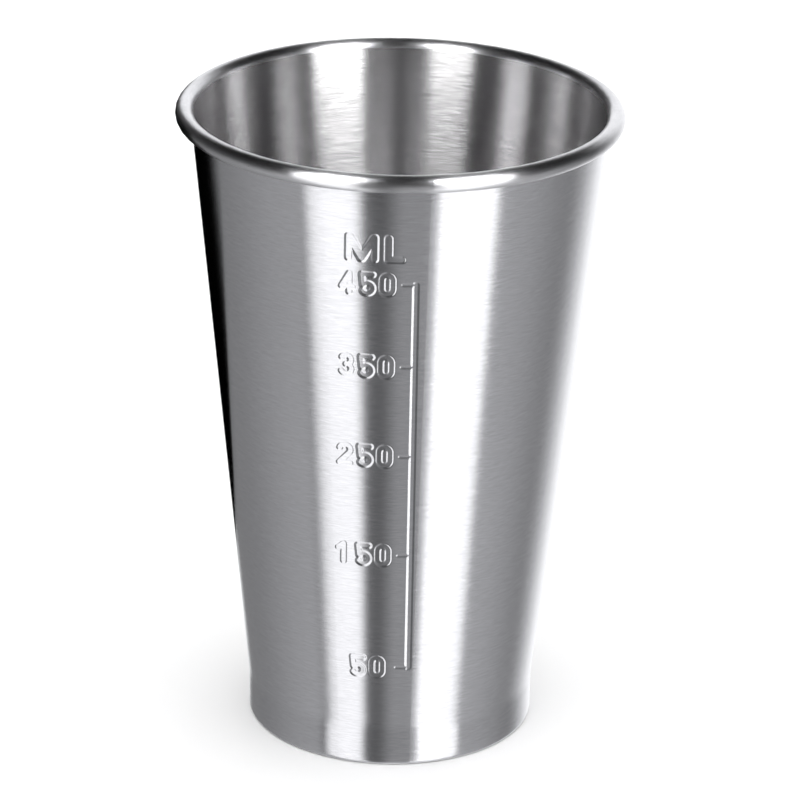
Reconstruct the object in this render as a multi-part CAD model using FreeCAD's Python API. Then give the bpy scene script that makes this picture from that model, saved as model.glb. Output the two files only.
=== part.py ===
import FreeCAD, Part

import os
from math import asin, atan2, cos, degrees, hypot, pi, radians, sin, tan

# Graduated stainless measuring cup: a tapered sheet cup with a hollow curled rim and a short
# upright foot, and a raised base pan held inside the foot. Millimetres, +Z up, the origin at the
# centre of the ring that the cup stands on. The pressed-in scale faces -Y.

# Driving dimensions of the sheet shell.
SHEET = 0.6            # thickness of both pieces
RIM_R = 48.0           # outside of the curled rim
HEIGHT = 141.5         # standing ring to the top of the rim
CURL_R = 1.9           # outside radius of the curl's section
CURL_SWEEP = 300.0     # degrees that the curl runs round from the wall
FOOT_R = 31.5          # outside of the upright foot
FOOT_HEIGHT = 9.0      # where the upright foot and the taper meet
BEND_R = 25.0          # outside radius of the soft bend between them
EDGE_R = 1.0           # outside radius of the foot's lower edge
LIP_R = 29.2           # inner edge of the lip turned in under the base pan

# Base pan.
FLOOR_Z = 8.5          # top of the floor, from the volume that the lowest mark stands for
PAN_CORNER_R = 1.5     # outside radius between floor and skirt

# Scale pressed into the wall: the outside sinks and the inside rises by the same amount.
MARK_DEPTH = 0.12
MARK_VOLUMES = (50, 150, 250, 350, 450)    # millilitres
STROKE = 1.3           # width of the digits' strokes
LINE_STROKE = 1.5
TICK_STROKE = 0.85
LINE_X = 3.95          # centre of the long vertical line
TICK_LEFT_X = 1.3      # centre of a tick's rounded free end
DIGIT_HEIGHT = 5.6
DIGIT_WIDTH = 3.6
DIGIT_PITCH = 4.2
NUMBER_RIGHT_X = -0.15  # right edge of a number of three digits
SHORT_NUMBER_SHIFT = -0.85  # the two-digit number stands further left
LETTER_BASE_Z = 121.2
LETTER_HEIGHT = 6.4
LETTER_STROKE = 1.5
M_LEFT_X = -10.9
M_WIDTH = 7.0
M_DIAGONAL_STROKE = 1.9
L_LEFT_X = -2.75
L_WIDTH = 4.5
L_STEM_STROKE = 1.8

# Where the taper starts and ends.
curl_r_centre = RIM_R - CURL_R
curl_z_centre = HEIGHT - CURL_R
rise = curl_z_centre - FOOT_HEIGHT
run = curl_r_centre - FOOT_R
taper = atan2(run, rise) - asin((CURL_R - SHEET) / hypot(run, rise))   # wall's angle from upright
bend_z = FOOT_HEIGHT - BEND_R * tan(taper / 2)                         # where the bend starts

PUNCH_NEAR_Y = -60.0   # the marks' prisms run from in front of the cup
PUNCH_FAR_Y = -20.0    # to inside it


def point(x, z, y=0.0):
    return FreeCAD.Vector(x, y, z)


def polar(centre_x, centre_z, radius, angle):
    """Point at an angle in degrees about a centre in the XZ plane."""
    return point(centre_x + radius * cos(radians(angle)), centre_z + radius * sin(radians(angle)))


def line(start, end):
    return Part.LineSegment(start, end).toShape()


def arc(centre_x, centre_z, radius, start_angle, end_angle):
    middle_angle = (start_angle + end_angle) / 2
    ends = [polar(centre_x, centre_z, radius, a) for a in (start_angle, middle_angle, end_angle)]
    return Part.Arc(*ends).toShape()


def joined(pieces):
    """Edges for a mixed list of arcs and points: straight lines close every gap."""
    edges = []
    last = None
    for piece in pieces:
        is_arc = isinstance(piece, Part.Edge)
        start = piece.valueAt(piece.FirstParameter) if is_arc else piece
        if last is not None and last.distanceToPoint(start) > 1e-6:
            edges.append(line(last, start))
        if is_arc:
            edges.append(piece)
        last = piece.valueAt(piece.LastParameter) if is_arc else piece
    return edges


def turned(outline):
    """Solid of revolution about Z from a closed half section."""
    edges = joined(outline + [outline[0]] if not isinstance(outline[0], Part.Edge) else outline)
    face = Part.Face(Part.Wire(edges))
    return face.revolve(point(0, 0), point(0, 1), 360)


def wall_r(z):
    """Outside radius of the tapered wall at height z."""
    return FOOT_R + (z - FOOT_HEIGHT) * tan(taper)


def inside_r(z):
    return wall_r(z) - SHEET / cos(taper)


def mark_height(volume_ml):
    """Height at which the cup holds a volume, from the cone's volume above the floor."""
    slope = tan(taper)
    radius = (inside_r(FLOOR_Z) ** 3 + 3 * slope * volume_ml * 1000 / pi) ** (1 / 3)
    return FLOOR_Z + (radius - inside_r(FLOOR_Z)) / slope


# --- The turned shells ---

def plain_body():
    """One sheet: lip, foot, soft bend, taper and the curl that rolls outward at the top."""
    bend_x = FOOT_R + BEND_R
    wall_angle = 180 - degrees(taper)
    curl_end = wall_angle - CURL_SWEEP
    outline = [
        point(LIP_R, 0),
        arc(FOOT_R - EDGE_R, EDGE_R, EDGE_R, -90, 0),
        arc(bend_x, bend_z, BEND_R, 180, wall_angle),
        arc(curl_r_centre, curl_z_centre, CURL_R - SHEET, wall_angle, curl_end),
        arc(curl_r_centre, curl_z_centre, CURL_R, curl_end, wall_angle),
        arc(bend_x, bend_z, BEND_R + SHEET, wall_angle, 180),
        arc(FOOT_R - EDGE_R, EDGE_R, EDGE_R - SHEET, 0, -90),
        point(LIP_R, SHEET),
    ]
    return turned(outline)


def base_pan():
    """Floor disc with a skirt turned down inside the foot, standing on the bend of its lip."""
    skirt_r = FOOT_R - SHEET
    corner_x = skirt_r - PAN_CORNER_R
    corner_z = FLOOR_Z - PAN_CORNER_R
    outline = [
        point(0, FLOOR_Z - SHEET),
        arc(corner_x, corner_z, PAN_CORNER_R - SHEET, 90, 0),
        point(skirt_r - SHEET, EDGE_R),
        point(skirt_r, EDGE_R),
        arc(corner_x, corner_z, PAN_CORNER_R, 0, 90),
        point(0, FLOOR_Z),
    ]
    return turned(outline)


def wall_skin(outer_offset, inner_offset):
    """Thin cone between two offsets from the outside of the wall, over the scale's height."""
    low = mark_height(MARK_VOLUMES[0]) - DIGIT_HEIGHT
    high = LETTER_BASE_Z + LETTER_HEIGHT + STROKE
    offsets = [(outer_offset, low), (outer_offset, high), (inner_offset, high), (inner_offset, low)]
    return turned([point(wall_r(z) + offset / cos(taper), z) for offset, z in offsets])


# --- The marks: strokes of a given width about centre lines, in the XZ plane ---

def straight_outline(start, end, width):
    """Closed outline round a straight centre line, with a half circle at each end."""
    angle = degrees(atan2(end.z - start.z, end.x - start.x))
    return Part.Wire(joined([
        arc(start.x, start.z, width / 2, angle + 90, angle + 270),
        arc(end.x, end.z, width / 2, angle - 90, angle + 90),
        polar(start.x, start.z, width / 2, angle + 90)]))


def stroke(path, width):
    """Prism round a path of lines and arcs, with rounded ends and corners, along Y."""
    if len(path) == 2 and not isinstance(path[0], Part.Edge):
        face = Part.Face(straight_outline(path[0], path[1], width))
    else:
        wire = Part.Wire(joined(path))
        if wire.isClosed():
            face = Part.Face(wire.makeOffset2D(width / 2)).cut(Part.Face(wire.makeOffset2D(-width / 2)))
        else:
            face = Part.Face(wire.makeOffset2D(width / 2, join=0, openResult=False))
    face.translate(point(0, 0, PUNCH_NEAR_Y))
    return face.extrude(point(0, 0, PUNCH_FAR_Y - PUNCH_NEAR_Y))


def digit_paths(digit, x, z):
    """Centre lines of a digit whose outer box starts at x and stands on z."""
    left = x + STROKE / 2
    right = x + DIGIT_WIDTH - STROKE / 2
    bottom = z + STROKE / 2
    top = z + DIGIT_HEIGHT - STROKE / 2
    centre = (left + right) / 2
    bowl = (right - left) / 2
    if digit == "0":
        return [[arc(centre, top - bowl, bowl, 180, 0), arc(centre, bottom + bowl, bowl, 0, -180),
                 point(left, top - bowl)]]
    if digit == "1":
        return [[point(centre - bowl, top - bowl), point(centre, top), point(centre, bottom)]]
    if digit == "2":
        return [[arc(centre, top - bowl, bowl, 165, -35), point(left, bottom), point(right, bottom)]]
    if digit == "3":
        upper = (top - bottom) * 0.24
        lower = (top - bottom) * 0.26
        return [[arc(centre, top - upper, upper, 150, -90)],
                [arc(centre, bottom + lower, lower, 90, -150)]]
    if digit == "4":
        bar = bottom + (top - bottom) * 0.28
        return [[point(centre + bowl * 0.4, top), point(left, bar), point(right, bar)],
                [point(centre + bowl * 0.4, top), point(centre + bowl * 0.4, bottom)]]
    bowl_z = bottom + bowl
    return [[point(right, top), point(left, top), polar(centre, bowl_z, bowl, 140),
             arc(centre, bowl_z, bowl, 115, -145)]]


def number(text, right_x, middle_z):
    strokes = []
    left_x = right_x - DIGIT_WIDTH - DIGIT_PITCH * (len(text) - 1)
    for place, digit in enumerate(text):
        paths = digit_paths(digit, left_x + place * DIGIT_PITCH, middle_z - DIGIT_HEIGHT / 2)
        strokes += [stroke(path, STROKE) for path in paths]
    return strokes


def letter_m():
    half = LETTER_STROKE / 2
    left = M_LEFT_X + half
    right = M_LEFT_X + M_WIDTH - half
    bottom = LETTER_BASE_Z + half
    top = LETTER_BASE_Z + LETTER_HEIGHT - half
    inset = (M_DIAGONAL_STROKE - LETTER_STROKE) / 2
    vee = [point(left + inset, top - inset), point((left + right) / 2, bottom + inset),
           point(right - inset, top - inset)]
    legs = [stroke([point(x, bottom), point(x, top)], LETTER_STROKE) for x in (left, right)]
    return legs + [stroke(vee, M_DIAGONAL_STROKE)]


def letter_l():
    half = LETTER_STROKE / 2
    stem_x = L_LEFT_X + L_STEM_STROKE / 2
    stem_top = LETTER_BASE_Z + LETTER_HEIGHT - L_STEM_STROKE / 2
    stem = [point(stem_x, LETTER_BASE_Z + L_STEM_STROKE / 2), point(stem_x, stem_top)]
    bar_z = LETTER_BASE_Z + half
    bar = [point(L_LEFT_X + half, bar_z), point(L_LEFT_X + L_WIDTH - half, bar_z)]
    return [stroke(stem, L_STEM_STROKE), stroke(bar, LETTER_STROKE)]


def scale_marks():
    """Prisms of the whole scale: long line, ticks, numbers and the letters ML."""
    heights = [mark_height(volume) for volume in MARK_VOLUMES]
    marks = [stroke([point(LINE_X, heights[0]), point(LINE_X, heights[-1])], LINE_STROKE)]
    for volume, z in zip(MARK_VOLUMES, heights):
        marks.append(stroke([point(TICK_LEFT_X, z), point(LINE_X, z)], TICK_STROKE))
        shift = SHORT_NUMBER_SHIFT if volume < 100 else 0.0
        marks += number(str(volume), NUMBER_RIGHT_X + shift, z)
    marks += letter_m() + letter_l()
    return marks[0].multiFuse(marks[1:])


def cup_body():
    marks = scale_marks()
    sunk = marks.common(wall_skin(0.5, -MARK_DEPTH))
    raised = marks.common(wall_skin(-SHEET + 0.1, -SHEET - MARK_DEPTH))
    body = plain_body().fuse(raised)
    return body.cut(sunk).Solids[0]


def main():
    os.makedirs("parts", exist_ok=True)
    parts = {"cup_body": cup_body(), "base_pan": base_pan()}
    for name, shape in parts.items():
        shape.exportStep("parts/%s.step" % name)
        box = shape.optimalBoundingBox()
        print("%-10s solids %d valid %s volume %.1f mm3  z %.2f to %.2f  across %.2f"
              % (name, len(shape.Solids), shape.isValid(), shape.Volume, box.ZMin, box.ZMax, box.XLength))
    print("marks at", [round(mark_height(volume), 2) for volume in MARK_VOLUMES],
          "wall angle %.2f degrees" % degrees(taper))


main()
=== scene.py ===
from collections import namedtuple
from math import asin, atan2, cos, degrees, hypot, pi, radians, sin, tan

import bpy
import numpy as np
from mathutils import Matrix, Vector


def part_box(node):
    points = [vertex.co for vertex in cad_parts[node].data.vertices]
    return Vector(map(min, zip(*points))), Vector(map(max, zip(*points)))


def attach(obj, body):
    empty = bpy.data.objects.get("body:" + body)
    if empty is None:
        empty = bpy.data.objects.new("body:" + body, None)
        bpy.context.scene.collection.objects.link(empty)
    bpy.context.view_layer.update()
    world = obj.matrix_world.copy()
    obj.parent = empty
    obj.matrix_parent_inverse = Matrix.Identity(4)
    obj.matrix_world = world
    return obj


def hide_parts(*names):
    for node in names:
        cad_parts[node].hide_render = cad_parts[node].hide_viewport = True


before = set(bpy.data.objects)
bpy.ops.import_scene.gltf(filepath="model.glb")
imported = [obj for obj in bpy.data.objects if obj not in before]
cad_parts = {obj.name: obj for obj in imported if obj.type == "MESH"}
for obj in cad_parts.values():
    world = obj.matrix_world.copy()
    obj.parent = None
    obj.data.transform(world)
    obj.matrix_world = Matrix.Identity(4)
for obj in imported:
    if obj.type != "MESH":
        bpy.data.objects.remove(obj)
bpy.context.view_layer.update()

scene = bpy.context.scene
scene.view_settings.view_transform = "Standard"

# The cup is turned about Z. Its sheet shell is one closed mesh whose scale is pressed in, and its
# raised floor is a second piece. Metres; azimuths are degrees from -Y, positive towards +X.
MM = 0.001
_, body_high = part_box("cup_body")
pan_low, pan_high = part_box("base_pan")
RIM_R = body_high.x
HEIGHT = body_high.z
FLOOR_Z = pan_high.z
SHEET = 0.6 * MM
SKIRT_R = pan_high.x
FOOT_R = SKIRT_R + SHEET
EDGE_R = pan_low.z             # the skirt stands on the inner corner of the foot's lower edge
LIP_R = 29.2 * MM              # opening of the foot's turned-in lip
CURL_R = 1.9 * MM
CURL_SWEEP = 300.0
FOOT_HEIGHT = 9.0 * MM         # the upright foot and the wall would meet here without the bend
BEND_R = 25.0 * MM
PAN_CORNER_R = 1.5 * MM
PAN_MIDDLE_R = 0.2 * MM        # a flat face closes the pan inside this radius

# The outside of the wall rises from the foot's top to touch the inner circle of the curl.
curl_x = RIM_R - CURL_R
curl_z = HEIGHT - CURL_R
rise = curl_z - FOOT_HEIGHT
run = curl_x - FOOT_R
TAPER = atan2(run, rise) - asin((CURL_R - SHEET) / hypot(run, rise))
bend_z = FOOT_HEIGHT - BEND_R * tan(TAPER / 2)

# The pressed scale.
TEXT_DEPTH = 0.115 * MM
LINE_DEPTH = 0.12 * MM
MARK_VOLUMES = (50, 150, 250, 350, 450)
STROKE = 1.3 * MM
LINE_STROKE = 1.5 * MM
TICK_STROKE = 0.85 * MM
LINE_X = 3.95 * MM
TICK_LEFT_X = 1.3 * MM
DIGIT_HEIGHT = 5.6 * MM
DIGIT_WIDTH = 3.6 * MM
DIGIT_PITCH = 4.2 * MM
NUMBER_RIGHT_X = -0.15 * MM
SHORT_NUMBER_SHIFT = -0.85 * MM
LETTER_BASE_Z = 121.2 * MM
LETTER_HEIGHT = 6.4 * MM
LETTER_STROKE = 1.5 * MM
M_LEFT_X = -10.9 * MM
M_WIDTH = 7.0 * MM
M_DIAGONAL_STROKE = 1.9 * MM
L_LEFT_X = -2.75 * MM
L_WIDTH = 4.5 * MM
L_STEM_STROKE = 1.8 * MM
EDGE_OUTSIDE = 0.12 * MM       # the pressed edge starts this far outside a stroke's nominal edge
TEXT_EDGE = 0.19 * MM          # and reaches full depth this far inside it,
LINE_EDGE = 0.45 * MM          # or this far in the line;
INSIDE_EDGE = 0.5 * MM         # inside the cup the sheet rounds it to this far each way

# Fineness of the meshes: closer columns over the scale, and closer rows over letters and numbers.
SCALE_AZIMUTHS = (-20.4, 8.6)
SCALE_COLUMN = 0.18
BODY_COLUMN = 6.0
PAN_COLUMN = 3.0
OUTSIDE_ROWS = (2.5 * MM, 0.17 * MM)
INSIDE_ROWS = (5.0 * MM, 0.55 * MM)
ROW_MARGIN = 0.5 * MM          # the close rows go on this far past the letters and numbers
SHARP_ANGLE = 50.0


# --- Centre lines of the marks, in the XZ plane as seen from -Y ---

def arc_path(x, z, radius, start, end, step=12.0):
    """Points round a circle, in degrees from +X towards +Z, about a step apart."""
    count = max(2, round(abs(end - start) / step))
    angles = np.radians(np.linspace(start, end, count + 1))
    return [(x + radius * cos(a), z + radius * sin(a)) for a in angles]


def digit_paths(digit, x, z):
    """Centre lines of one of the digits 0 to 5, whose outer box starts at x and stands on z."""
    left = x + STROKE / 2
    right = x + DIGIT_WIDTH - STROKE / 2
    bottom = z + STROKE / 2
    top = z + DIGIT_HEIGHT - STROKE / 2
    centre = (left + right) / 2
    bowl = (right - left) / 2
    if digit == "0":
        over = arc_path(centre, top - bowl, bowl, 180, 0)
        under = arc_path(centre, bottom + bowl, bowl, 0, -180)
        return [over + under + [(left, top - bowl)]]
    if digit == "1":
        return [[(centre - bowl, top - bowl), (centre, top), (centre, bottom)]]
    if digit == "2":
        return [arc_path(centre, top - bowl, bowl, 165, -35) + [(left, bottom), (right, bottom)]]
    if digit == "3":
        upper = (top - bottom) * 0.24
        lower = (top - bottom) * 0.26
        return [arc_path(centre, top - upper, upper, 150, -90),
                arc_path(centre, bottom + lower, lower, 90, -150)]
    if digit == "4":
        bar = bottom + (top - bottom) * 0.28
        stem = centre + bowl * 0.4
        return [[(stem, top), (left, bar), (right, bar)], [(stem, top), (stem, bottom)]]
    return [[(right, top), (left, top)] + arc_path(centre, bottom + bowl, bowl, 140, -145)]


def number_strokes(text, right_x, middle_z):
    left_x = right_x - DIGIT_WIDTH - DIGIT_PITCH * (len(text) - 1)
    strokes = []
    for place, digit in enumerate(text):
        paths = digit_paths(digit, left_x + place * DIGIT_PITCH, middle_z - DIGIT_HEIGHT / 2)
        strokes += [(path, STROKE) for path in paths]
    return strokes


def m_strokes():
    half = LETTER_STROKE / 2
    left = M_LEFT_X + half
    right = M_LEFT_X + M_WIDTH - half
    bottom = LETTER_BASE_Z + half
    top = LETTER_BASE_Z + LETTER_HEIGHT - half
    inset = (M_DIAGONAL_STROKE - LETTER_STROKE) / 2
    tip = ((left + right) / 2, bottom + inset)
    vee = [(left + inset, top - inset), tip, (right - inset, top - inset)]
    return [([(left, bottom), (left, top)], LETTER_STROKE),
            ([(right, bottom), (right, top)], LETTER_STROKE),
            (vee, M_DIAGONAL_STROKE)]


def l_strokes():
    stem_half = L_STEM_STROKE / 2
    stem_x = L_LEFT_X + stem_half
    stem_top = LETTER_BASE_Z + LETTER_HEIGHT - stem_half
    bar_half = LETTER_STROKE / 2
    bar_z = LETTER_BASE_Z + bar_half
    bar_right = L_LEFT_X + L_WIDTH - bar_half
    return [([(stem_x, LETTER_BASE_Z + stem_half), (stem_x, stem_top)], L_STEM_STROKE),
            ([(L_LEFT_X + bar_half, bar_z), (bar_right, bar_z)], LETTER_STROKE)]


def wall_r(z):
    """Outside radius of the tapered wall."""
    return FOOT_R + (z - FOOT_HEIGHT) * tan(TAPER)


def inside_r(z):
    return wall_r(z) - SHEET / cos(TAPER)


def mark_height(volume_ml):
    """Height at which the cup holds a volume, from the cone's volume above the floor."""
    slope = tan(TAPER)
    cubic_metres = volume_ml * MM ** 3 * 1000
    radius = (inside_r(FLOOR_Z) ** 3 + 3 * slope * cubic_metres / pi) ** (1 / 3)
    return FLOOR_Z + (radius - inside_r(FLOOR_Z)) / slope


def line_strokes():
    """The upright line and its ticks."""
    heights = [mark_height(volume) for volume in MARK_VOLUMES]
    line = [([(LINE_X, heights[0]), (LINE_X, heights[-1])], LINE_STROKE)]
    return line + [([(TICK_LEFT_X, z), (LINE_X, z)], TICK_STROKE) for z in heights]


def text_strokes():
    """The letters over the scale and a number at each tick."""
    strokes = m_strokes() + l_strokes()
    for volume in MARK_VOLUMES:
        shift = SHORT_NUMBER_SHIFT if volume < 100 else 0.0
        strokes += number_strokes(str(volume), NUMBER_RIGHT_X + shift, mark_height(volume))
    return strokes


def sunk(x, z, strokes, full_depth, edge_outside, edge_inside):
    """How deep a group of strokes is pressed at points of the wall, with soft edges."""
    far = 1.0
    tiny = 1e-12
    edge = np.full(x.shape, far)
    for path, width in strokes:
        for (x0, z0), (x1, z1) in zip(path, path[1:]):
            dx, dz = x1 - x0, z1 - z0
            along = ((x - x0) * dx + (z - z0) * dz) / max(dx * dx + dz * dz, tiny)
            along = np.clip(along, 0, 1)
            distance = np.hypot(x - x0 - along * dx, z - z0 - along * dz)
            edge = np.minimum(edge, distance - width / 2)
    t = np.clip((edge_outside - edge) / (edge_outside + edge_inside), 0, 1)
    smooth = t * t * (3 - 2 * t)
    return full_depth * (t + smooth) / 2


def pressed_outside(x, z):
    line = sunk(x, z, line_strokes(), LINE_DEPTH, EDGE_OUTSIDE, LINE_EDGE)
    text = sunk(x, z, text_strokes(), TEXT_DEPTH, EDGE_OUTSIDE, TEXT_EDGE)
    return np.maximum(line, text)


def pressed_inside(x, z):
    strokes = line_strokes() + text_strokes()
    return sunk(x, z, strokes, TEXT_DEPTH, INSIDE_EDGE, INSIDE_EDGE)


# --- Turned meshes ---

Row = namedtuple("Row", "r z finish marked")


class Section:
    """Half section of a turned sheet: rows by radius and height, each with the finish of the face
    that follows it. The scale is pressed into the marked rows."""

    def __init__(self):
        self.rows = []

    def add(self, points, finish, marked=False):
        """A point that repeats the last row's replaces that row."""
        same = 1e-8
        for r, z in points:
            if self.rows and hypot(r - self.rows[-1].r, z - self.rows[-1].z) < same:
                self.rows.pop()
            self.rows.append(Row(r, z, finish, marked))


def split(start, end, step):
    """Points from start to end, both included, about a step apart."""
    run_x, run_z = end[0] - start[0], end[1] - start[1]
    count = max(1, round(hypot(run_x, run_z) / step))
    return [(start[0] + run_x * i / count, start[1] + run_z * i / count)
            for i in range(count + 1)]


def wall_heights(low, high, coarse, fine):
    """Heights up the wall, closer together where the letters and numbers are."""
    half = DIGIT_HEIGHT / 2
    bands = [(mark_height(v) - half - ROW_MARGIN, mark_height(v) + half + ROW_MARGIN)
             for v in MARK_VOLUMES]
    bands.append((LETTER_BASE_Z - ROW_MARGIN, LETTER_BASE_Z + LETTER_HEIGHT + ROW_MARGIN))
    heights = [low]
    for start, end in bands:
        coarse_count = max(2, round((start - heights[-1]) / coarse))
        heights += list(np.linspace(heights[-1], start, coarse_count)[1:])
        heights += list(np.linspace(start, end, round((end - start) / fine))[1:])
    coarse_count = max(2, round((high - heights[-1]) / coarse))
    return heights + list(np.linspace(heights[-1], high, coarse_count)[1:])


def body_columns():
    """Azimuths all round in radians, closer together over the scale."""
    start, end = SCALE_AZIMUTHS
    fine = np.arange(start, end, SCALE_COLUMN)
    coarse_count = round((start + 360 - end) / BODY_COLUMN)
    coarse = np.linspace(end, start + 360, coarse_count + 1)[:-1]
    return np.radians(np.concatenate([fine, coarse]))


def swept_points(rows, azimuths, pressed):
    """Each row's points all round. pressed gives the depth of the scale, which is on the front
    half, for each finish that it shows in."""
    r = np.outer([row.r for row in rows], np.ones(len(azimuths)))
    z = np.outer([row.z for row in rows], np.ones(len(azimuths)))
    in_front = np.cos(azimuths) > 0
    for finish, depth_at in pressed.items():
        on = np.array([row.marked and row.finish == finish for row in rows])
        depth = depth_at(r[on] * np.sin(azimuths), z[on]) * in_front
        r[on] -= depth * cos(TAPER)
        z[on] += depth * sin(TAPER)
    points = np.stack([r * np.sin(azimuths), -r * np.cos(azimuths), z], axis=-1)
    return points.reshape(-1, 3).tolist()


def swept_faces(row_count, column_count, capped):
    """Quads between each row and the next. The last row joins the first, unless the section is
    capped: then one flat face closes the first row and another the last."""
    bands = row_count - 1 if capped else row_count
    row, column = np.meshgrid(np.arange(bands), np.arange(column_count), indexing="ij")
    here = row * column_count
    onward = (row + 1) % row_count * column_count
    beside = (column + 1) % column_count
    quads = np.stack([here + column, here + beside, onward + beside, onward + column], axis=-1)
    faces = quads.reshape(-1, 4).tolist()
    if capped:
        ring = np.arange(column_count)
        faces += [ring[::-1].tolist(), (ring + bands * column_count).tolist()]
    return faces


def add_mesh(name, points, faces, materials):
    mesh = bpy.data.meshes.new(name)
    mesh.from_pydata(points, [], faces)
    for material in materials:
        mesh.materials.append(material)
    piece = bpy.data.objects.new(name, mesh)
    scene.collection.objects.link(piece)
    return piece


def add_turned(name, rows, azimuths, finishes, pressed, capped=False):
    """Sweeps a section's rows round Z and gives each face its row's finish."""
    used = sorted(set(row.finish for row in rows))
    points = swept_points(rows, azimuths, pressed)
    faces = swept_faces(len(rows), len(azimuths), capped)
    piece = add_mesh(name, points, faces, [finishes[finish] for finish in used])
    row_slots = [used.index(row.finish) for row in rows]
    banded = row_slots[:-1] if capped else row_slots
    caps = [row_slots[0], row_slots[-1]] if capped else []
    face_slots = np.concatenate([np.repeat(banded, len(azimuths)), caps]).astype(np.int32)
    mesh = piece.data
    mesh.polygons.foreach_set("material_index", face_slots)
    mesh.shade_smooth()
    mesh.set_sharp_from_angle(angle=radians(SHARP_ANGLE))
    mesh.update()
    return piece


def body_section():
    """Up the outside, round the curl and its inner face, down the inside, and under the foot."""
    section = Section()
    wall_angle = 180 - degrees(TAPER)
    curl_end = wall_angle - CURL_SWEEP
    bend_x = FOOT_R + BEND_R
    bend_out = arc_path(bend_x, bend_z, BEND_R, 180, wall_angle, 1.0)
    bend_in = arc_path(bend_x, bend_z, BEND_R + SHEET, wall_angle, 180, 1.5)
    corner_out = arc_path(FOOT_R - EDGE_R, EDGE_R, EDGE_R, -90, 0, 10)
    corner_in = arc_path(FOOT_R - EDGE_R, EDGE_R, EDGE_R - SHEET, 0, -90, 30)
    curl_in = arc_path(curl_x, curl_z, CURL_R - SHEET, wall_angle, curl_end, 15)
    curl_out = arc_path(curl_x, curl_z, CURL_R, curl_end, wall_angle, 6)
    outside = wall_heights(bend_out[-1][1], curl_in[0][1], *OUTSIDE_ROWS)
    inside = wall_heights(bend_in[0][1], curl_out[-1][1], *INSIDE_ROWS)[::-1]
    section.add(split((LIP_R, 0), corner_out[0], 0.5 * MM), "outside")
    section.add(corner_out, "outside")
    section.add(split(corner_out[-1], bend_out[0], 1.5 * MM), "outside")
    section.add(bend_out, "outside")
    section.add([(wall_r(z), z) for z in outside], "outside", marked=True)
    section.add(curl_in, "rim")
    section.add(curl_out, "rim")
    section.add([(inside_r(z), z) for z in inside], "inside", marked=True)
    section.add(bend_in, "inside")
    section.add(split(bend_in[-1], corner_in[0], 3 * MM), "inside")
    section.add(corner_in, "inside")
    section.add([(LIP_R, SHEET)], "inside")
    return section


def pan_section():
    """From the middle of the underside out, down the skirt, and back over the top."""
    section = Section()
    corner_x = SKIRT_R - PAN_CORNER_R
    corner_z = FLOOR_Z - PAN_CORNER_R
    under = arc_path(corner_x, corner_z, PAN_CORNER_R - SHEET, 90, 0, 10)
    over = arc_path(corner_x, corner_z, PAN_CORNER_R, 0, 90, 7)
    section.add(split((PAN_MIDDLE_R, FLOOR_Z - SHEET), under[0], 3 * MM), "pan")
    section.add(under, "pan")
    section.add(split(under[-1], (SKIRT_R - SHEET, EDGE_R), 1.5 * MM), "pan")
    section.add(split((SKIRT_R, EDGE_R), over[0], 1.5 * MM), "pan")
    section.add(over, "pan")
    section.add(split(over[-1], (PAN_MIDDLE_R, FLOOR_Z), 3 * MM), "pan")
    return section


# --- Steel ---

# Finishes brushed round the axis. Lines have a length and a width. In radians: sway turns the
# surface sideways along the lines, tilt turns the finest lines up or down and ripple the broad
# ones. contrast is how much the lines differ in shade. On a turned disc the lines are rings.
FINISHES = {
    "outside": dict(colour=(0.655, 0.655, 0.68), roughness=0.21, anisotropy=1.0,
                    line_length=1.6 * MM, line_width=0.11 * MM,
                    sway=0.01, tilt=0.11, ripple=0.006, contrast=0.12),
    "inside": dict(colour=(0.57, 0.565, 0.572), roughness=0.245, anisotropy=1.0,
                   line_length=3 * MM, line_width=0.14 * MM,
                   sway=0.006, tilt=0.25, ripple=0.005, contrast=0.20),
    "rim": dict(colour=(0.67, 0.67, 0.69), roughness=0.29, anisotropy=0.9,
                line_length=2 * MM, line_width=0.12 * MM,
                sway=0.02, tilt=0.15, ripple=0.02, contrast=0.12),
    "pan": dict(colour=(0.62, 0.62, 0.64), roughness=0.30, anisotropy=0.9,
                line_length=5 * MM, line_width=0.2 * MM,
                sway=0.01, tilt=0.20, ripple=0.02, contrast=0.18, turned=True),
}
LINE_ROUGHNESS = 0.08          # how far the roughness varies from line to line
CLOUD_ROUGHNESS = 0.04         # and from cloud to cloud
CLOUD_SIZE = 30 * MM
NOISE_LOW = 0.3                # most of the noise lies between these
NOISE_HIGH = 0.7


def put(tree, value, socket):
    """Sets a socket to a constant or links an output to it."""
    if isinstance(value, (int, float, tuple)):
        socket.default_value = value
    else:
        tree.links.new(value, socket)


def math_node(tree, operation, *values):
    node = tree.nodes.new("ShaderNodeMath")
    node.operation = operation
    for socket, value in zip(node.inputs, values):
        put(tree, value, socket)
    return node.outputs[0]


def vector_node(tree, operation, *values):
    node = tree.nodes.new("ShaderNodeVectorMath")
    node.operation = operation
    for socket, value in zip(node.inputs, values):
        put(tree, value, socket)
    return node.outputs[0]


def scaled(tree, vector, factor):
    node = tree.nodes.new("ShaderNodeVectorMath")
    node.operation = "SCALE"
    put(tree, vector, node.inputs[0])
    put(tree, factor, node.inputs["Scale"])
    return node.outputs[0]


def separated(tree, vector):
    node = tree.nodes.new("ShaderNodeSeparateXYZ")
    tree.links.new(vector, node.inputs[0])
    return node.outputs


def coordinates(tree, kind):
    return tree.nodes.new("ShaderNodeTexCoord").outputs[kind]


def new_material(name):
    material = bpy.data.materials.new(name)
    material.use_nodes = True
    return material, material.node_tree


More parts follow.
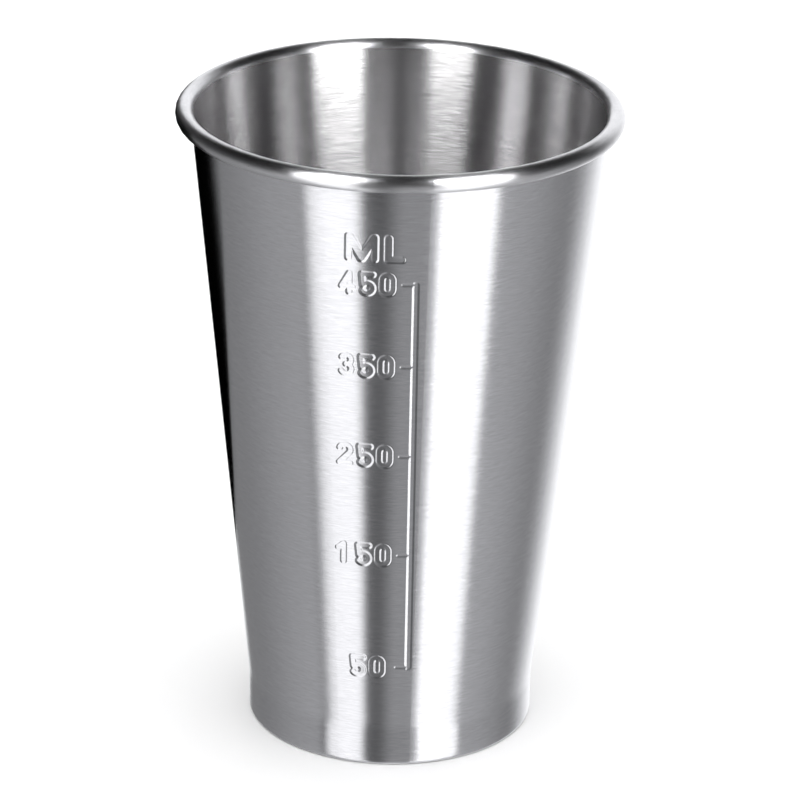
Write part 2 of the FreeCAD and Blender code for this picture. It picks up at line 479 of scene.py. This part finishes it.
def stretched_noise(tree, vector, along, across, offset=0.0):
    """Noise in lines round the axis: along is their length and across their width, in metres.
    Each offset gives another pattern."""
    stretched = vector_node(tree, "MULTIPLY", vector, (1 / along, 1 / along, 1 / across))
    moved = vector_node(tree, "ADD", stretched, (offset, offset, offset))
    noise = tree.nodes.new("ShaderNodeTexNoise")
    noise.inputs["Scale"].default_value = 1.0
    noise.inputs["Detail"].default_value = 3.0
    noise.inputs["Roughness"].default_value = 0.6
    tree.links.new(moved, noise.inputs["Vector"])
    return noise.outputs[0]


def swing(tree, noise, reach):
    """Noise moved to lie about zero, up to the reach either way."""
    return math_node(tree, "MULTIPLY", math_node(tree, "SUBTRACT", noise, 0.5), 2 * reach)


def ring_coordinates(tree, place):
    """The place with its distance from the axis for its height, so that lines become rings."""
    parts = separated(tree, place)
    squares = math_node(tree, "ADD", math_node(tree, "POWER", parts[0], 2.0),
                        math_node(tree, "POWER", parts[1], 2.0))
    joined = tree.nodes.new("ShaderNodeCombineXYZ")
    for value, socket in zip((parts[0], parts[1], math_node(tree, "SQRT", squares)), joined.inputs):
        tree.links.new(value, socket)
    return joined.outputs[0]


def line_tint(tree, colour, lines, contrast):
    shade = tree.nodes.new("ShaderNodeMapRange")
    shade.inputs["From Min"].default_value = NOISE_LOW
    shade.inputs["From Max"].default_value = NOISE_HIGH
    shade.inputs["To Min"].default_value = 1 - contrast
    shade.inputs["To Max"].default_value = 1 + contrast
    tree.links.new(lines, shade.inputs["Value"])
    return scaled(tree, colour, shade.outputs[0])


def bent_normal(tree, place, sideways, upward):
    """The surface's normal, turned along the brush lines and across them."""
    normal = tree.nodes.new("ShaderNodeNewGeometry").outputs["Normal"]
    cross = vector_node(tree, "CROSS_PRODUCT", (0.0, 0.0, 1.0), place)
    around = vector_node(tree, "NORMALIZE", cross)
    across = vector_node(tree, "CROSS_PRODUCT", normal, around)
    bent = vector_node(tree, "ADD", normal, scaled(tree, around, sideways))
    bent = vector_node(tree, "ADD", bent, scaled(tree, across, upward))
    return vector_node(tree, "NORMALIZE", bent)


def brush_round(tree, shader, anisotropy):
    """Spreads highlights across lines that run round Z."""
    quarter_turn = 0.25
    tangent = tree.nodes.new("ShaderNodeTangent")
    tangent.direction_type = "RADIAL"
    tangent.axis = "Z"
    shader.inputs["Anisotropic"].default_value = anisotropy
    shader.inputs["Anisotropic Rotation"].default_value = quarter_turn
    tree.links.new(tangent.outputs[0], shader.inputs["Tangent"])


def brushed_steel(name, colour, roughness, anisotropy, line_length, line_width, sway, tilt,
                  ripple, contrast, turned=False):
    material, tree = new_material(name)
    shader = tree.nodes["Principled BSDF"]
    place = coordinates(tree, "Object")
    vector = ring_coordinates(tree, place) if turned else place
    fine = stretched_noise(tree, vector, line_length, line_width)
    broad = stretched_noise(tree, vector, line_length * 2, line_width * 3, offset=7.0)
    hair = stretched_noise(tree, vector, line_length, line_width * 0.3, offset=5.0)
    wander = stretched_noise(tree, vector, line_length, line_width, offset=11.0)
    cloud = stretched_noise(tree, vector, CLOUD_SIZE, CLOUD_SIZE, offset=3.0)
    lines = math_node(tree, "ADD", math_node(tree, "MULTIPLY", fine, 0.5),
                      math_node(tree, "MULTIPLY", broad, 0.5))
    tree.links.new(line_tint(tree, colour, lines, contrast), shader.inputs["Base Color"])

    smoothest = roughness - (LINE_ROUGHNESS + CLOUD_ROUGHNESS) / 2
    by_line = math_node(tree, "MULTIPLY_ADD", lines, LINE_ROUGHNESS, smoothest)
    by_cloud = math_node(tree, "MULTIPLY", cloud, CLOUD_ROUGHNESS)
    tree.links.new(math_node(tree, "ADD", by_line, by_cloud), shader.inputs["Roughness"])
    shader.inputs["Metallic"].default_value = 1.0
    brush_round(tree, shader, anisotropy)

    sideways = swing(tree, wander, sway)
    upward = math_node(tree, "ADD", swing(tree, hair, tilt), swing(tree, broad, ripple))
    tree.links.new(bent_normal(tree, place, sideways, upward), shader.inputs["Normal"])
    return material


# --- Studio: floor, backdrop, lights and surroundings ---

# Light from the room: an azimuth band and an elevation band, each as its start, its end and the
# soft edges outside them in degrees, and a brightness.
Band = namedtuple("Band", "start end soft_start soft_end")
LOW_DOWN = Band(-90, -25, 10, 30)
PAST_LEVEL = Band(-90, 25, 10, 12)
ROOM = {
    "left_far": (Band(-200, -60, 10, 4), LOW_DOWN, 0.15),
    "left_wall": (Band(-62, -57, 70, 4), LOW_DOWN, 0.20),
    "middle": (Band(5, 24, 16, 4), LOW_DOWN, 0.25),
    "right_wall": (Band(57, 60, 4, 90), LOW_DOWN, 0.42),
    "right_back": (Band(160, 200, 48, 20), PAST_LEVEL, 1.2),
    "left_back": (Band(-200, -166, 20, 6), PAST_LEVEL, 1.2),
}
ROOM_BELOW = 0.22              # everywhere, looking down
ROOM_ABOVE = 0.01              # and up
ROOM_RAMP = (-80, 50)          # elevations between which the one turns into the other
ROOM_TINT = (0.985, 0.99, 1.0, 1)
THIN_EDGE = 1e-4               # added to every soft edge, so that none is zero

# Standing cards that only the cup's reflections see, on a circle round the axis. The soft edges
# of a card's azimuths are inside them. It is brighter high up than low down.
Card = namedtuple("Card", "distance azimuths bottom top low_level high_level")
CARDS = {
    "left_strip": Card(distance=0.16, azimuths=Band(-47, -15, 1, 8), bottom=-0.35, top=0.36,
                       low_level=1.3, high_level=13.5),
    "right_strip": Card(distance=0.35, azimuths=Band(23.0, 54.8, 1, 1), bottom=-0.7, top=0.60,
                        low_level=1.5, high_level=12.5),
}
CARD_RAMP = (0.12, 0.32)       # heights between which a card brightens
CARD_POINTS = 13

# A black flag behind the cup's left side: its distance, top edge, and lower edge by azimuth.
FLAG_DISTANCE = 0.22
FLAG_TOP = 0.17
FLAG_LOWER_EDGE = ((-160, -0.06), (-142, -0.044), (-132, -0.023), (-126, -0.003), (-117, 0.02))

FLOOR_HALF_WIDTH = 12.0
FLOOR_SHADE = 0.86
FLOOR_ROUGHNESS = 0.9
BACKDROP_R = 14.0
BACKDROP_FOOT = -2.0
BACKDROP_WALL_TOP = 14.0
BACKDROP_PEAK = 20.0
BACKDROP_SIDES = 64
BACKDROP_GLOW = 0.93
OVERHEAD_ENERGY = 4.5
OVERHEAD_ANGLE = 100.0

CAMERA_DISTANCE = 981.9 * MM
CAMERA_ELEVATION = 22.238
CAMERA_TILT = 1.105
CAMERA_TARGET = Vector((1.09 * MM, 0, 73.33 * MM))
SENSOR_WIDTH = 36.0
FOCAL_LENGTH = 202.0


def ramp(tree, value, start, end):
    """A smooth step from zero at start to one at end."""
    node = tree.nodes.new("ShaderNodeMapRange")
    node.interpolation_type = "SMOOTHSTEP"
    node.inputs["From Min"].default_value = min(start, end)
    node.inputs["From Max"].default_value = max(start, end)
    node.inputs["To Min"].default_value = 0.0 if start < end else 1.0
    node.inputs["To Max"].default_value = 1.0 if start < end else 0.0
    tree.links.new(value, node.inputs["Value"])
    return node.outputs[0]


def window(tree, value, band):
    """One from the band's start to its end, falling to zero over the soft edge outside each."""
    rising = ramp(tree, value, band.start - band.soft_start - THIN_EDGE, band.start)
    falling = ramp(tree, value, band.end + band.soft_end + THIN_EDGE, band.end)
    return math_node(tree, "MULTIPLY", rising, falling)


def azimuth_of(tree, parts):
    """Azimuth in degrees, from -Y and positive towards +X, of a separated vector."""
    forward = math_node(tree, "MULTIPLY", parts[1], -1.0)
    angle = math_node(tree, "ARCTAN2", parts[0], forward)
    return math_node(tree, "MULTIPLY", angle, degrees(1))


def add_surroundings():
    world = bpy.data.worlds.new("studio")
    scene.world = world
    world.use_nodes = True
    tree = world.node_tree
    parts = separated(tree, coordinates(tree, "Generated"))
    azimuth = azimuth_of(tree, parts)
    elevation = math_node(tree, "MULTIPLY", math_node(tree, "ARCSINE", parts[2]), degrees(1))
    above = ramp(tree, elevation, *ROOM_RAMP)
    total = math_node(tree, "MULTIPLY_ADD", above, ROOM_ABOVE - ROOM_BELOW, ROOM_BELOW)
    for azimuths, elevations, level in ROOM.values():
        patch = math_node(tree, "MULTIPLY", window(tree, azimuth, azimuths),
                          window(tree, elevation, elevations))
        total = math_node(tree, "ADD", total, math_node(tree, "MULTIPLY", patch, level))
    background = tree.nodes["Background"]
    tree.links.new(total, background.inputs["Strength"])
    background.inputs["Color"].default_value = ROOM_TINT


def glow_material(name):
    """A material without a surface shader, its tree, and a glow that the caller connects."""
    material, tree = new_material(name)
    tree.nodes.remove(tree.nodes["Principled BSDF"])
    return material, tree, tree.nodes.new("ShaderNodeEmission")


def card_material(name, card):
    """A glow that fades to clear at the card's upright edges."""
    material, tree, glow = glow_material(name)
    parts = separated(tree, coordinates(tree, "Object"))
    start, end, soft_start, soft_end = card.azimuths
    full = Band(start + soft_start, end - soft_end, soft_start, soft_end)
    across = window(tree, azimuth_of(tree, parts), full)
    high = ramp(tree, parts[2], *CARD_RAMP)
    level = math_node(tree, "MULTIPLY_ADD", high, card.high_level - card.low_level, card.low_level)
    tree.links.new(math_node(tree, "MULTIPLY", across, level), glow.inputs["Strength"])
    clear = tree.nodes.new("ShaderNodeBsdfTransparent")
    both = tree.nodes.new("ShaderNodeAddShader")
    tree.links.new(glow.outputs[0], both.inputs[0])
    tree.links.new(clear.outputs[0], both.inputs[1])
    tree.links.new(both.outputs[0], tree.nodes["Material Output"].inputs["Surface"])
    return material


def dull_material(name, shade):
    """An even grey without gloss, and its shader."""
    material, tree = new_material(name)
    shader = tree.nodes["Principled BSDF"]
    shader.inputs["Base Color"].default_value = (shade, shade, shade, 1)
    shader.inputs["Specular IOR Level"].default_value = 0.0
    return material, shader


def hide_from(piece, *rays):
    for ray in rays:
        setattr(piece, "visible_" + ray, False)


def add_card(name, distance, lower_edge, top, material):
    """A standing card on a circle round the axis; lower_edge is (azimuth, height) pairs."""
    low = [(distance * sin(radians(a)), -distance * cos(radians(a)), z) for a, z in lower_edge]
    high = [(x, y, top) for x, y, _ in low]
    count = len(low)
    faces = [(k, k + 1, k + 1 + count, k + count) for k in range(count - 1)]
    card = add_mesh(name, low + high, faces, [material])
    hide_from(card, "camera", "diffuse", "transmission", "shadow")


def add_cards():
    for name, card in CARDS.items():
        azimuths = np.linspace(card.azimuths.start, card.azimuths.end, CARD_POINTS)
        lower_edge = [(azimuth, card.bottom) for azimuth in azimuths]
        add_card(name, card.distance, lower_edge, card.top, card_material(name, card))
    black, _ = dull_material("flag_black", 0.0)
    add_card("black_flag", FLAG_DISTANCE, FLAG_LOWER_EDGE, FLAG_TOP, black)


def add_floor():
    half = FLOOR_HALF_WIDTH
    material, shader = dull_material("pale_floor", FLOOR_SHADE)
    shader.inputs["Roughness"].default_value = FLOOR_ROUGHNESS
    corners = [(-half, -half, 0), (half, -half, 0), (half, half, 0), (-half, half, 0)]
    floor = add_mesh("floor", corners, [(0, 1, 2, 3)], [material])
    hide_from(floor, "glossy")


def add_backdrop():
    """A pale wall all round and a roof over it, far away, that only the camera sees."""
    count = BACKDROP_SIDES
    angles = [2 * pi * k / count for k in range(count)]
    ring = [(BACKDROP_R * cos(angle), BACKDROP_R * sin(angle)) for angle in angles]
    points = [(x, y, z) for z in (BACKDROP_FOOT, BACKDROP_WALL_TOP) for x, y in ring]
    points.append((0, 0, BACKDROP_PEAK))
    walls = [(k, (k + 1) % count, (k + 1) % count + count, k + count) for k in range(count)]
    roof = [(k + count, (k + 1) % count + count, 2 * count) for k in range(count)]
    material, tree, glow = glow_material("backdrop_glow")
    glow.inputs["Strength"].default_value = BACKDROP_GLOW
    tree.links.new(glow.outputs[0], tree.nodes["Material Output"].inputs["Surface"])
    backdrop = add_mesh("backdrop", points, walls + roof, [material])
    hide_from(backdrop, "diffuse", "glossy", "transmission", "shadow")


def add_overhead():
    """Very soft light from above for the floor and the cup's faint shadow on it."""
    light = bpy.data.lights.new("overhead", "SUN")
    light.energy = OVERHEAD_ENERGY
    light.angle = radians(OVERHEAD_ANGLE)
    overhead = bpy.data.objects.new("overhead", light)
    hide_from(overhead, "glossy")
    scene.collection.objects.link(overhead)


def add_camera():
    """Above and in front of the cup, with a long lens and a small tilt of the frame."""
    elevation = radians(CAMERA_ELEVATION)
    tilt = radians(CAMERA_TILT)
    back = Vector((0, -cos(elevation), sin(elevation)))
    right = Vector((1, 0, 0))
    up = back.cross(right)
    across = right * cos(tilt) + up * sin(tilt)
    upward = up * cos(tilt) - right * sin(tilt)
    data = bpy.data.cameras.new("camera")
    data.sensor_width = SENSOR_WIDTH
    data.lens = FOCAL_LENGTH
    camera = bpy.data.objects.new("camera", data)
    place = Matrix.Translation(CAMERA_TARGET + back * CAMERA_DISTANCE)
    camera.matrix_world = place @ Matrix((across, upward, back)).transposed().to_4x4()
    scene.collection.objects.link(camera)
    scene.camera = camera


def add_cup():
    finishes = {key: brushed_steel("steel_" + key, **look) for key, look in FINISHES.items()}
    scale = {"outside": pressed_outside, "inside": pressed_inside}
    body = add_turned("cup_body_sheet", body_section().rows, body_columns(), finishes, scale)
    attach(body, "root")
    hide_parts("cup_body")
    azimuths = np.radians(np.arange(0, 360, PAN_COLUMN))
    pan = add_turned("base_pan_disc", pan_section().rows, azimuths, finishes, {}, capped=True)
    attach(pan, "root")
    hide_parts("base_pan")


add_cup()
add_surroundings()
add_cards()
add_floor()
add_backdrop()
add_overhead()
add_camera()
